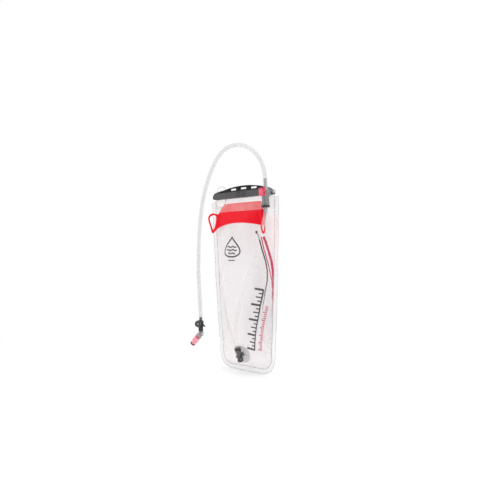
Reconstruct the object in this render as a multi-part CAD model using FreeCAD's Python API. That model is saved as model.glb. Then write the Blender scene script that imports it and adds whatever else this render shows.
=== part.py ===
"""A hydration bladder: a clear film reservoir, its slide-on top closure, and its drinking hose.

Frame: the origin is the centre of the middle window in the slider's handle, which hangs on a
hook. X runs across the bag, +Y is its back, +Z is up. Lengths are in millimetres.
"""

import FreeCAD
import Part
import math
import os

from FreeCAD import Placement, Rotation, Vector

# Reservoir film
FILM = 0.8
BAG_TOP_Z = -16.6
BAG_SHOULDER_Z = -20.5
BAG_BOTTOM_Z = -402.0
SEAM_Z = -391.0
TOP_HALF_WIDTH = 94.5
SIDE_TAPER = 16.5
SIDE_CURVE = 1.35
TAPER_HEIGHT = 340.0
SIDE_WELD_WIDTH = 10.0
INNER_CORNER_R = 24.0
OUTER_CORNER_R = 30.0
SHOULDER_CORNER_R = 12.0
FULLNESS = 0.85
# Depth of the front and back film at its middle, against height
FRONT_DEPTHS = [
    (-16.6, 0), (-21, 0), (-36, 8), (-52, 15.5), (-75, 22), (-120, 30), (-200, 34),
    (-280, 31), (-320, 24.5), (-345, 18.5), (-365, 12), (-380, 6), (-391, 0),
]
BACK_DEPTHS = [
    (-16.6, 0), (-21, 0), (-45, 7), (-75, 13.5), (-110, 19), (-160, 24), (-220, 26),
    (-300, 22), (-345, 14), (-372, 6.5), (-391, 0),
]

# Slide-on closure
SLIDER_LEFT = -87.0
SLIDER_RIGHT = 81.0
SLIDER_HALF_DEPTH = 7.0
SLIDER_BOTTOM_Z = -20.0
HANDLE_HALF_DEPTH = 4.5
HANDLE_STEP_Z = -6.0
CHANNEL_HALF_DEPTH = 4.2
CHANNEL_TOP_Z = -10.0
CHANNEL_BOTTOM_Z = -17.0
LIP_FRONT_Y = -2.4
LIP_BACK_Y = 1.4
STOP_WALL = 2.1
WINDOW_SIZE = (22.0, 5.0)
WINDOW_CENTRES = (-29.0, 0.0, 29.0)
EYELET_SIZE = (12.0, 5.0)
EYELET_CENTRE = (66.0, -10.5)
RAIL_HALF_LENGTH = 84.0
CLEARANCE = 0.4

# Folded mouth flap, grip band and loops
FLAP_BOTTOM_Z = -52.0
FLAP_HALF_WIDTH = 91.0
BAND_THICKNESS = 1.6
FLAP_GAP = 0.3
BAND_GAP = 0.4
LOOP_THICKNESS = 1.8
LOOP_HINGE_X = 66.0
LOOP_HINGE_Y = -12.6
LEFT_LOOP_SWING = 8.0
RIGHT_LOOP_SWING = 72.0
RIGHT_LOOP_LEAN = -9.0
LOOP_TILT = -6.0
TETHER_X = -73.0
TETHER_R = 15.0

# Outlet port
PORT_Z = -362.0
PORT_TILT = 19.0
PORT_DISC_R = 20.0
PORT_DISC = 3.0
ELBOW_STAND_OFF = 11.0

# Tube and hose
TUBE_OD = 9.5
TUBE_ID = 6.35
BARB_R = 3.17
BORE_R = 2.2

# Coupling on the hose, on a vertical axis
COUPLING = Vector(75.2, -20.0, 0.0)
SOCKET_R = 8.5
SOCKET_TOP_Z = -11.0
SOCKET_BOTTOM_Z = -44.0
RING_BOTTOM_Z = -48.0
LOWER_BARB_END_Z = -61.0
PROBE_R = 5.2
HOSE_START_Z = -7.5
UPPER_BARB_END_Z = 12.6
BUTTON_ANGLE = -90.0
BUTTON_TRAVEL = 2.0

# Mouthpiece end of the hose, on a vertical axis
SWIVEL_X = -120.0
SWIVEL_Y = -20.0
HOSE_END_Z = -299.0
CLIP_ANGLE = -60.0
CLIP_DISC_R = 7.8
ELBOW_CENTRE_Z = -328.0
VALVE_LEAN = 45.0

# Centre line of the drinking hose, from the coupling over the top to the swivel
HOSE_ROUTE = [
    (75.2, -20, -7.5), (75.2, -20, 22), (67.5, -20.5, 47), (50, -21, 71), (26, -21.5, 87),
    (-1, -22, 94), (-29, -22, 91), (-54, -21.5, 76), (-77, -21, 47), (-97, -20.5, 8),
    (-111, -20, -36), (-119.5, -19.5, -84), (-123.5, -19.5, -136), (-125, -20, -188),
    (-123, -20, -234), (-120, -20, -272), (-120, -20, -299),
]
# Centre line of the lower tube, from the port to the coupling, through the right-hand loop
TUBE_MIDDLE = [
    (5, -41, -297), (14, -42.5, -262), (26, -41.5, -227), (39, -38, -193),
    (50, -33, -160), (55.5, -31.0, -133), (60.0, -28.2, -105), (75.2, -20, -75),
]

UP = Vector(0, 0, 1)


def save(shape, name):
    """Write one piece, after checking that it is sound."""
    if not shape.isValid() or shape.Volume <= 0:
        print("UNSOUND", name, shape.isValid(), shape.Volume)
    box = shape.BoundBox
    print(f"{name:18s} {len(shape.Solids)} solid {shape.Volume:10.1f} mm3 "
          f"x {box.XMin:.1f} {box.XMax:.1f} y {box.YMin:.1f} {box.YMax:.1f} "
          f"z {box.ZMin:.1f} {box.ZMax:.1f}")
    shape.exportStep(f"parts/{name}.step")


def block(x0, x1, y0, y1, z0, z1):
    return Part.makeBox(x1 - x0, y1 - y0, z1 - z0, Vector(x0, y0, z0))


def rod(radius, start, end):
    start, end = Vector(*start), Vector(*end)
    return Part.makeCylinder(radius, (end - start).Length, start, end - start)


def tube(outer, inner, start, end):
    return rod(outer, start, end).cut(rod(inner, start, end))


def turned(profile, inner=0.0):
    """A solid turned about Z from (radius, height) points up its outside, with a plain bore."""
    low, high = profile[0][1], profile[-1][1]
    points = [(inner, low)] + list(profile) + [(inner, high)]
    wire = Part.makePolygon([Vector(r, 0, z) for r, z in points + points[:1]])
    return Part.Face(wire).revolve(Vector(0, 0, 0), UP, 360)


def moved(shape, x=0, y=0, z=0):
    copy = shape.copy()
    copy.translate(Vector(x, y, z))
    return copy


def fused(*shapes):
    result = shapes[0]
    for shape in shapes[1:]:
        result = result.fuse(shape)
    return result.removeSplitter()


def smooth(points, closed=False):
    curve = Part.BSplineCurve()
    curve.interpolate([Vector(*p) for p in points], PeriodicFlag=closed)
    return curve.toShape()


def plate(edges, y0, y1):
    """A flat plate in the XZ plane between two depths, from the edges of its outline."""
    face = Part.Face(Part.Wire(edges))
    return moved(face.extrude(Vector(0, y1 - y0, 0)), y=y0)


def line(a, b):
    return Part.makeLine(Vector(a[0], 0, a[1]), Vector(b[0], 0, b[1]))


def rounded(points, radius):
    """The edges of a polygon in the XZ plane with its corners rounded, one radius for each."""
    count = len(points)
    edges, ends = [], []
    for i in range(count):
        corner = Vector(points[i][0], 0, points[i][1])
        before = Vector(points[i - 1][0], 0, points[i - 1][1]) - corner
        after = Vector(points[(i + 1) % count][0], 0, points[(i + 1) % count][1]) - corner
        before.normalize()
        after.normalize()
        half = before.getAngle(after) / 2
        reach = radius[i] / math.tan(half)
        middle = before + after
        middle.normalize()
        tip = corner + middle * (radius[i] / math.sin(half) - radius[i])
        ends.append((corner + before * reach, tip, corner + after * reach))
    for i in range(count):
        start, tip, end = ends[i]
        edges.append(Part.Arc(start, tip, end).toShape())
        edges.append(Part.makeLine(end, ends[(i + 1) % count][0]))
    return edges


# ---- reservoir film ----

def outer_half_width(z):
    down = max(0.0, (-20.0 - z) / TAPER_HEIGHT)
    return TOP_HALF_WIDTH - SIDE_TAPER * down ** SIDE_CURVE


def inner_half_width(z):
    half = outer_half_width(z) - SIDE_WELD_WIDTH
    corner_z = SEAM_Z + INNER_CORNER_R
    if z < corner_z:
        drop = corner_z - z
        half -= INNER_CORNER_R - math.sqrt(max(0.0, INNER_CORNER_R ** 2 - drop ** 2))
    return half


def depth_at(stations, z):
    """A smooth rise and fall between the stations of a film's depth."""
    zs = [s[0] for s in stations]
    hs = [s[1] for s in stations]
    slopes = []
    for i in range(len(zs)):
        a, b = max(0, i - 1), min(len(zs) - 1, i + 1)
        slopes.append((hs[b] - hs[a]) / (zs[b] - zs[a]))
    slopes[0] = slopes[1] = 0.0
    for i in range(len(zs) - 1):
        if zs[i] >= z >= zs[i + 1]:
            span = zs[i + 1] - zs[i]
            t = (z - zs[i]) / span
            value = (2 * t ** 3 - 3 * t ** 2 + 1) * hs[i] + (3 * t ** 2 - 2 * t ** 3) * hs[i + 1]
            value += (t ** 3 - 2 * t ** 2 + t) * span * slopes[i]
            value += (t ** 3 - t ** 2) * span * slopes[i + 1]
            return max(0.0, value)
    return 0.0


def film_depth(stations, x, z):
    across = min(1.0, abs(x) / inner_half_width(z))
    return depth_at(stations, z) * (1 - across ** 2) ** FULLNESS


def panel_rows():
    rows = [BAG_TOP_Z, -18.8, -21.0, -25.0]
    rows += [-32.0 - 16.0 * i for i in range(21)]
    rows += [-361.0, -369.0, -376.0, -382.0, -387.0, SEAM_Z]
    return rows


def skin(grid):
    surface = Part.BSplineSurface()
    surface.interpolate(grid)
    return surface.toShape()


def thick_sheet(outer_grid, inner_grid):
    """A closed solid between two sheets of points that have the same layout."""
    outer, inner = skin(outer_grid), skin(inner_grid)
    faces = [outer, inner]
    for a, b in zip(outer.Edges, inner.Edges):
        faces.append(Part.makeRuledSurface(a, b))
    shell = Part.makeShell(faces)
    shell.sewShape()
    solid = Part.makeSolid(Part.Shell(shell.Faces))
    if solid.Volume < 0:
        solid.reverse()
    return solid


def film_grids(stations, side):
    """Outer and inner skins of one film panel; side is -1 for the front and 1 for the back."""
    outer, inner = [], []
    columns = 17
    for z in panel_rows():
        half = inner_half_width(z)
        outer_row, inner_row = [], []
        for i in range(columns):
            across = -math.cos(math.pi * i / (columns - 1))
            lift = depth_at(stations, z) * max(0.0, 1 - across ** 2) ** FULLNESS
            outer_row.append(Vector(half * across, side * (FILM + lift), z))
            inner_row.append(Vector(half * across, side * lift, z))
        outer.append(outer_row)
        inner.append(inner_row)
    return outer, inner


def perimeter_weld(panel_outer):
    """The flat welded border round the sides and foot of the bag."""
    steps = [BAG_SHOULDER_Z - 12.0 - i * 30.0 for i in range(12)]
    bottom_half = outer_half_width(BAG_BOTTOM_Z)
    side_end = BAG_BOTTOM_Z + OUTER_CORNER_R
    side = [(outer_half_width(z), 0, z) for z in steps if z > side_end + 8]
    side.append((outer_half_width(side_end), 0, side_end))
    top_x = outer_half_width(BAG_SHOULDER_Z)
    edges = []
    for sign in (1, -1):
        flank = [(sign * x, 0, z) for x, _, z in side]
        edges.append(smooth(flank))
        foot = Vector(sign * (bottom_half - OUTER_CORNER_R), 0, BAG_BOTTOM_Z + 2.0)
        knee = Vector(flank[-1][0], 0, flank[-1][2])
        bulge = Vector(sign * (bottom_half - 8.0), 0, BAG_BOTTOM_Z + 9.5)
        edges.append(Part.Arc(knee, bulge, foot).toShape())
        shoulder = Vector(sign * (top_x - SHOULDER_CORNER_R), 0, BAG_SHOULDER_Z)
        start = Vector(*flank[0])
        bend = Vector(sign * (top_x - 3.6), 0, BAG_SHOULDER_Z - 3.4)
        edges.append(Part.Arc(start, bend, shoulder).toShape())
    left = Vector(-(bottom_half - OUTER_CORNER_R), 0, BAG_BOTTOM_Z + 2.0)
    right = Vector(bottom_half - OUTER_CORNER_R, 0, BAG_BOTTOM_Z + 2.0)
    edges.append(Part.Arc(left, Vector(0, 0, BAG_BOTTOM_Z), right).toShape())
    top_left = (-(top_x - SHOULDER_CORNER_R), BAG_SHOULDER_Z)
    edges.append(line(top_left, (-top_left[0], BAG_SHOULDER_Z)))
    wire = Part.Wire(Part.__sortEdges__(edges))
    whole = moved(Part.Face(wire).extrude(Vector(0, 2 * FILM, 0)), y=-FILM)
    hollow = Part.Face(Part.Wire(Part.__sortEdges__(skin(panel_outer).Edges)))
    hollow = moved(hollow.extrude(Vector(0, 4 * FILM, 0)), y=-FILM)
    return whole.cut(hollow)


def port_frame():
    """Where the port sits: X across, -Y straight out of the film, +Z up along it."""
    y = -FILM / 2 - depth_at(FRONT_DEPTHS, PORT_Z)
    return Placement(Vector(0, y, PORT_Z), Rotation(Vector(1, 0, 0), PORT_TILT))


def in_port_frame(shape):
    copy = shape.copy()
    copy.Placement = port_frame().multiply(copy.Placement)
    return copy


def reservoir():
    front_outer, front_inner = film_grids(FRONT_DEPTHS, -1)
    back_outer, back_inner = film_grids(BACK_DEPTHS, 1)
    front = thick_sheet(front_outer, front_inner)
    hole = in_port_frame(rod(PORT_DISC_R, (0, 30, 0), (0, -30, 0)))
    save(front.cut(hole), "front_panel")
    save(thick_sheet(back_outer, back_inner), "back_panel")
    save(perimeter_weld(front_outer), "perimeter_weld")


def mouth_flap():
    """The mouth of the bag, folded forward over the slider's rail and hanging down in front."""
    outer, inner = [], []
    rows = [-16.6, -18.8, -21.0, -24.0, -29.0, -35.0, -41.0, -47.0, FLAP_BOTTOM_Z]
    clear = FILM + BAND_GAP + BAND_THICKNESS + FLAP_GAP
    for z in rows:
        half = RAIL_HALF_LENGTH
        if z < -21.0:
            spread = min(1.0, (-21.0 - z) / 14.0)
            half += (FLAP_HALF_WIDTH - RAIL_HALF_LENGTH) * math.sin(math.pi / 2 * spread) ** 2
        opened = math.sin(math.pi / 2 * min(1.0, max(0.0, (-21.0 - z) / 14.0))) ** 2
        outer_row, inner_row = [], []
        for i in range(15):
            x = -half * math.cos(math.pi * i / 14)
            rest = film_depth(FRONT_DEPTHS, x, z) if z < -21.0 else 0.0
            y = -FILM - FLAP_GAP - (clear - FILM) * opened - rest
            inner_row.append(Vector(x, y, z))
            outer_row.append(Vector(x, y - FILM, z))
        outer.append(outer_row)
        inner.append(inner_row)
    save(thick_sheet(outer, inner), "mouth_flap")


def mouth_rails():
    """Two stiff strips welded to the lips; the slider's channel squeezes them together."""
    top = CHANNEL_TOP_Z - CLEARANCE
    edge = CHANNEL_HALF_DEPTH - CLEARANCE
    front = block(-RAIL_HALF_LENGTH, RAIL_HALF_LENGTH, -edge, -0.05, BAG_TOP_Z, top)
    back = block(-RAIL_HALF_LENGTH, RAIL_HALF_LENGTH, 0.05, edge, BAG_TOP_Z, top)
    save(front, "front_mouth_rail")
    save(back, "back_mouth_rail")


# ---- slider ----

def slider():
    """One moulding: a channel that clamps the mouth, under a low arched handle."""
    crown = smooth([
        (SLIDER_LEFT, 0, -17.0), (-83.5, 0, -8.0), (-70, 0, -3.4), (-45, 0, 1.6),
        (-5, 0, 5.6), (33, 0, 3.6), (57, 0, -0.8), (71.5, 0, -6.0), (79, 0, -12.6),
        (SLIDER_RIGHT, 0, -19.0),
    ])
    edges = [
        crown,
        line((SLIDER_RIGHT, -19.0), (SLIDER_RIGHT - 1, SLIDER_BOTTOM_Z)),
        line((SLIDER_RIGHT - 1, SLIDER_BOTTOM_Z), (SLIDER_LEFT + 3, SLIDER_BOTTOM_Z)),
        line((SLIDER_LEFT + 3, SLIDER_BOTTOM_Z), (SLIDER_LEFT, -17.0)),
    ]
    body = plate(edges, -SLIDER_HALF_DEPTH, SLIDER_HALF_DEPTH)
    far = SLIDER_RIGHT + 5
    for side in (-1, 1):
        a, b = sorted((side * HANDLE_HALF_DEPTH, side * 20))
        body = body.cut(block(-60, 60, a, b, HANDLE_STEP_Z, 20))
    start = SLIDER_LEFT + STOP_WALL
    body = body.cut(block(start, far, -CHANNEL_HALF_DEPTH, CHANNEL_HALF_DEPTH,
                          CHANNEL_BOTTOM_Z, CHANNEL_TOP_Z))
    body = body.cut(block(start, far, LIP_FRONT_Y, LIP_BACK_Y, SLIDER_BOTTOM_Z - 1,
                          CHANNEL_BOTTOM_Z))
    width, height = WINDOW_SIZE
    for centre in WINDOW_CENTRES:
        drop = -0.0009 * centre ** 2
        corners = [
            (centre - width / 2, drop - height / 2), (centre + width / 2, drop - height / 2),
            (centre + width / 2, drop + height / 2), (centre - width / 2, drop + height / 2),
        ]
        body = body.cut(plate(rounded(corners, [1.2] * 4), -20, 20))
    width, height = EYELET_SIZE
    x, z = EYELET_CENTRE
    eyelet = [
        (x - width / 2, z - height / 2), (x + width / 2, z - height / 2),
        (x + width / 2, z + height / 2 - 2), (x - width / 2, z + height / 2),
    ]
    for side in (-1, 1):
        a, b = sorted((side * (CHANNEL_HALF_DEPTH + 0.9), side * 20))
        body = body.cut(plate(rounded(eyelet, [1.0] * 4), a, b))
    ribs = []
    for i in range(7):
        x = -16.0 + 4.0 * i
        ribs.append(block(x, x + 1.8, -SLIDER_HALF_DEPTH - 0.8, -SLIDER_HALF_DEPTH, -18.2, -7))
    save(fused(body, *ribs), "slider_bar")


# ---- grip band, finger loops, tether loop ----

def band_sheet():
    outer, inner = [], []
    for i in range(13):
        z = -28.0 - 5.5 * i
        outer_row, inner_row = [], []
        for j in range(21):
            x = -69.0 * math.cos(math.pi * j / 20)
            y = -FILM - BAND_GAP - film_depth(FRONT_DEPTHS, x, z)
            inner_row.append(Vector(x, y, z))
            outer_row.append(Vector(x, y - BAND_THICKNESS, z))
        outer.append(outer_row)
        inner.append(inner_row)
    return thick_sheet(outer, inner)


def finger_loop(outer, inner):
    """A flat ring with a smooth outside and inside, at the left-hand end of the band."""
    y0 = LOOP_HINGE_Y - LOOP_THICKNESS / 2
    y1 = LOOP_HINGE_Y + LOOP_THICKNESS / 2
    return plate([smooth(outer, True)], y0, y1).cut(plate([smooth(inner, True)], y0, y1))


def grip_band():
    """The coloured band across the front, with a finger loop at each end."""
    foot = Part.Arc(Vector(-66, 0, -86), Vector(0, 0, -77), Vector(66, 0, -86)).toShape()
    upper = [(66, -86), (68, -54), (62, -46), (51, -32), (-51, -32), (-62, -46), (-68, -54),
             (-66, -86)]
    edges = [foot] + [line(a, b) for a, b in zip(upper, upper[1:])]
    band = band_sheet().common(plate(edges, -40, 0))
    left = finger_loop(
        [(-60, 0, -55), (-73, 0, -53), (-86, 0, -53), (-92.5, 0, -60), (-90.5, 0, -72),
         (-84, 0, -87), (-78, 0, -97.5), (-70, 0, -91), (-59, 0, -80)],
        [(-72, 0, -58.5), (-82, 0, -56.5), (-89, 0, -61.5), (-87, 0, -71), (-80.5, 0, -85),
         (-76.5, 0, -90), (-73, 0, -84), (-70.5, 0, -70)],
    )
    right = finger_loop(
        [(65, 0, -56), (75, 0, -53), (86, 0, -56), (91.5, 0, -68), (90.5, 0, -88),
         (84, 0, -103.5), (73, 0, -104), (65.3, 0, -91)],
        [(69, 0, -66), (77, 0, -57.5), (85.5, 0, -60.5), (88, 0, -72), (87, 0, -88),
         (80, 0, -100.5), (71.5, 0, -98.5), (68.2, 0, -84)],
    )
    left.rotate(Vector(-LOOP_HINGE_X, LOOP_HINGE_Y, 0), UP, LEFT_LOOP_SWING)
    right.rotate(Vector(LOOP_HINGE_X, LOOP_HINGE_Y, 0), UP, -RIGHT_LOOP_SWING)
    right.rotate(Vector(LOOP_HINGE_X, LOOP_HINGE_Y, -72), Vector(0, 1, 0), RIGHT_LOOP_LEAN)
    for loop in (left, right):
        loop.rotate(Vector(0, LOOP_HINGE_Y, -56), Vector(1, 0, 0), LOOP_TILT)
    save(fused(band, left, right), "grip_band")


def tether_loop():
    """A clear strap loop welded to the back film, standing up behind the slider."""
    gap = SLIDER_HALF_DEPTH + 0.8
    thick = 1.2
    path = [(5.2, -42), (3.4, -30), (gap, -20), (gap, 14)]
    side = [Vector(0, y, z) for y, z in path]
    back = [Vector(0, y + thick, z) for y, z in reversed(path)]
    strip = Part.Face(Part.makePolygon(side + back + side[:1]))
    strip = moved(strip.extrude(Vector(2 * TETHER_R, 0, 0)), x=TETHER_X - TETHER_R)
    low, centre = -42.0, -3.0
    arch = []
    for radius in (TETHER_R, TETHER_R - 3.2):
        a, b = TETHER_X - radius, TETHER_X + radius
        bottom = low if radius == TETHER_R else low + 7.0
        top = Part.Arc(Vector(a, 0, centre), Vector(TETHER_X, 0, centre + radius),
                       Vector(b, 0, centre)).toShape()
        edges = [top, line((b, centre), (b, bottom)), line((b, bottom), (a, bottom)),
                 line((a, bottom), (a, centre))]
        arch.append(plate(edges, -5, 20))
    save(strip.common(arch[0].cut(arch[1])), "tether_loop")


# ---- outlet port ----

def port():
    """A welded disc with a hub, and an elbow that turns the flow up into the tube."""
    half = PORT_DISC / 2
    hub = rod(7.5, (0, half, 0), (0, -half - 2.6, 0))
    disc = fused(rod(PORT_DISC_R, (0, half, 0), (0, -half, 0)), hub)
    disc = disc.cut(rod(5.0, (0, half, 0), (0, -half - 2.6, 0)))
    save(in_port_frame(disc), "port_flange")

    gasket = Part.makeTorus(4.35, 0.6, Vector(0, -2.0, 0), Vector(0, 1, 0))
    spigot = rod(4.95, (0, 1, 0), (0, -ELBOW_STAND_OFF, 0)).cut(
        tube(5.5, 3.7, (0, -1.3, 0), (0, -2.7, 0)))
    body = turned([(5.0, -12.0), (6.6, -10.5), (6.6, -7.5), (5.8, -6.0), (5.8, -1.5), (7.4, 0.0),
                   (7.4, 2.5), (4.7, 4.5), (4.7, 8.0), (5.3, 9.0), (5.3, 10.0)])
    barb = turned([(BARB_R, 10.0), (BARB_R, 21.5), (2.7, 23.0)])
    leg = moved(fused(body, barb), y=-ELBOW_STAND_OFF)
    elbow = fused(leg, spigot)
    elbow = elbow.cut(rod(BORE_R, (0, -ELBOW_STAND_OFF, 0), (0, -ELBOW_STAND_OFF, 30)))
    elbow = elbow.cut(rod(BORE_R, (0, 2, 0), (0, -ELBOW_STAND_OFF, 0)))
    save(in_port_frame(gasket), "port_gasket")
    save(in_port_frame(elbow), "port_elbow")
    collar = turned([(5.8, 10.0), (5.8, 13.0), (6.9, 14.5), (6.9, 19.5), (6.3, 20.5)],
                    TUBE_OD / 2 + 0.05)
    save(in_port_frame(moved(collar, y=-ELBOW_STAND_OFF)), "port_collar")


# ---- tube and hose ----

def bent_tube(route, name):
    """A tube of straight runs joined by tangent arcs as large as the runs allow."""
    points = [Vector(*p) for p in route]
    edges, radii = [], []
    start = points[0]
    for a, b, c in zip(points, points[1:], points[2:]):
        back, ahead = a - b, c - b
        shorter = min(back.Length, ahead.Length)
        back.normalize()
        ahead.normalize()
        turn = math.pi - back.getAngle(ahead)
        reach = 0.45 * shorter
        radius = reach / math.tan(turn / 2)
        radii.append(radius)
        middle = back + ahead
        middle.normalize()
        tip = b + middle * (radius / math.cos(turn / 2) - radius)
        enter, leave = b + back * reach, b + ahead * reach
        edges.append(Part.LineSegment(start, enter).toShape())
        edges.append(Part.Arc(enter, tip, leave).toShape())
        start = leave
    edges.append(Part.LineSegment(start, points[-1]).toShape())
    path = Part.Wire(edges)
    first = points[1] - points[0]
    skins = []
    for radius in (TUBE_OD / 2, TUBE_ID / 2):
        ring = Part.Wire(Part.makeCircle(radius, points[0], first))
        skins.append(path.makePipeShell([ring], True, False))
    solid = skins[0].cut(skins[1])
    section = math.pi * (TUBE_OD ** 2 - TUBE_ID ** 2) / 4
    print(name, "length", round(path.Length, 1), "volume ratio",
          round(solid.Volume / (section * path.Length), 4), "radii",
          [round(r) for r in radii])
    save(solid, name)


def lower_tube():
    along = port_frame().multVec(Vector(0, -ELBOW_STAND_OFF, 10.0))
    clear = port_frame().multVec(Vector(0, -ELBOW_STAND_OFF, 38.0))
    end = Vector(COUPLING.x, COUPLING.y, RING_BOTTOM_Z)
    bent_tube([tuple(along), tuple(clear)] + TUBE_MIDDLE + [tuple(end)], "lower_tube")


# ---- coupling ----

def button_turn(shape):
    """Turn a shape drawn with the button on its +X side to the button's real direction."""
    copy = shape.copy()
    copy.rotate(Vector(0, 0, 0), UP, BUTTON_ANGLE)
    copy.translate(COUPLING)
    return copy


def coupling():
    """The socket on the lower tube, its release button, and its shut-off valve."""
    body = turned([(SOCKET_R - 0.6, SOCKET_BOTTOM_Z), (SOCKET_R - 0.2, -38.0), (7.6, -33.0),
                   (7.6, -27.0), (SOCKET_R, -24.0), (SOCKET_R, SOCKET_TOP_Z - 1),
                   (SOCKET_R - 1, SOCKET_TOP_Z)], PROBE_R + 0.3)
    lug = block(-11.0, -6.5, -6.2, 6.2, -25.0, SOCKET_TOP_Z)
    body = fused(body, lug.common(rod(11.4, (0, 0, -26), (0, 0, -10))))
    body = body.cut(block(5.0, 12, -4.3, 4.3, -21.3, -12.7))
    save(button_turn(body), "socket_body")
    cap = fused(block(SOCKET_R + 0.4 + BUTTON_TRAVEL, 14.0, -8.0, 8.0, -25.0, -8.6),
                block(6.6 + BUTTON_TRAVEL, 12.0, -4.0, 4.0, -21.0, -13.0))
    curved = rod(16.0, (-1.5, 0, -25), (-1.5, 0, -8))
    save(button_turn(cap.common(curved)), "release_button")
    spring = tube(2.6, 2.0, (6.7, 0, -17), (6.7 + BUTTON_TRAVEL - 0.2, 0, -17))
    save(button_turn(spring), "button_spring")

    ring = turned([(SOCKET_R + 0.3, RING_BOTTOM_Z), (SOCKET_R + 0.3, SOCKET_BOTTOM_Z)],
                  BARB_R + 0.03)
    save(moved(ring, *COUPLING), "socket_ring")
    barb = fused(turned([(2.7, LOWER_BARB_END_Z), (BARB_R, LOWER_BARB_END_Z + 1.5),
                         (BARB_R, SOCKET_BOTTOM_Z)]),
                 turned([(PROBE_R + 0.25, SOCKET_BOTTOM_Z), (PROBE_R + 0.25, -42.0)]))
    barb = barb.cut(rod(BORE_R, (0, 0, -70), (0, 0, -40)))
    save(moved(barb, *COUPLING), "socket_barb")
    coil = [Part.makeTorus(3.0, 0.45, Vector(0, 0, z)) for z in (-41.0, -39.6, -38.2)]
    save(moved(Part.makeCompound(coil), *COUPLING), "valve_spring")
    poppet = fused(turned([(4.6, -37.4), (4.6, -35.4)]), turned([(1.6, -35.4), (1.6, -31.4)]))
    save(moved(poppet, *COUPLING), "valve_poppet")

    plug = fused(
        turned([(PROBE_R, -31.0), (PROBE_R, -10.7), (6.4, -10.7), (6.4, HOSE_START_Z)], BORE_R),
        turned([(BARB_R, HOSE_START_Z), (BARB_R, 10.8), (2.7, UPPER_BARB_END_Z)], BORE_R))
    plug = plug.cut(tube(6, 4.4, (0, 0, -28.2), (0, 0, -26.2)))
    save(moved(plug, *COUPLING), "coupling_plug")
    seal = turned([(PROBE_R + 0.05, -28.1), (PROBE_R + 0.05, -26.3)], 4.45)
    save(moved(seal, *COUPLING), "plug_o_ring")


# ---- mouthpiece ----

def at_swivel(shape, z=0):
    return moved(shape, SWIVEL_X, SWIVEL_Y, z)


def clip_turn(shape):
    """Turn a shape drawn with the magnet facing +X to the clip's real direction."""
    copy = shape.copy()
    copy.rotate(Vector(0, 0, 0), UP, CLIP_ANGLE)
    return at_swivel(copy)


def swivel():
    """The black barb in the hose end, with the neck that the clip and the elbow turn on."""
    neck = turned([
        (2.9, -333.5), (3.4, -332.5), (3.4, -323.0), (5.2, -323.0), (5.6, -321.0), (5.6, -312.0),
        (5.0, -310.2), (4.2, -310.2), (4.2, HOSE_END_Z), (BARB_R, HOSE_END_Z), (BARB_R, -292.5),
        (2.7, -291.0)], BORE_R)
    save(at_swivel(neck), "swivel_barb")


def magnet_clip():
    """A collar round the swivel's neck that carries a magnet in a round housing."""
    collar = tube(6.8, 4.5, (0, 0, -309.6), (0, 0, -299.5))
    reach = -3.2
    post = block(4.6, 8.5, reach - 3, -2.0, -308.5, -300.5)
    housing = rod(CLIP_DISC_R, (6.5, reach, -305), (12.0, reach, -305))
    clip = fused(collar, post.cut(rod(5.0, (0, 0, -312), (0, 0, -298))), housing)
    clip = clip.cut(rod(CLIP_DISC_R - 1.2, (8.5, reach, -305), (13, reach, -305)))
    lever = Part.makeBox(2.2, 3.2, 13.0, Vector(-1.1, -1.6, -13.0))
    lever.rotate(Vector(0, 0, 0), Vector(1, 0, 0), 42)
    lever.translate(Vector(5.2, 2.6, -302.5))
    save(clip_turn(fused(clip, lever)), "clip_housing")
    save(clip_turn(rod(CLIP_DISC_R - 1.3, (8.5, reach, -305), (11.0, reach, -305))),
         "clip_magnet")
    cover = fused(rod(CLIP_DISC_R - 1.25, (11.0, reach, -305), (11.5, reach, -305)),
                  rod(2.2, (11.5, reach, -305), (12.0, reach, -305)))
    save(clip_turn(cover), "clip_cover")


def valve_frame():
    """Where the mouthpiece starts: +Z along it, leaning out from the elbow's centre."""
    turn = Rotation(Vector(0, 1, 0), 180 + VALVE_LEAN)
    return Placement(Vector(SWIVEL_X, SWIVEL_Y, ELBOW_CENTRE_Z), turn)


def in_valve_frame(shape):
    copy = shape.copy()
    copy.Placement = valve_frame().multiply(copy.Placement)
    return copy


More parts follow.
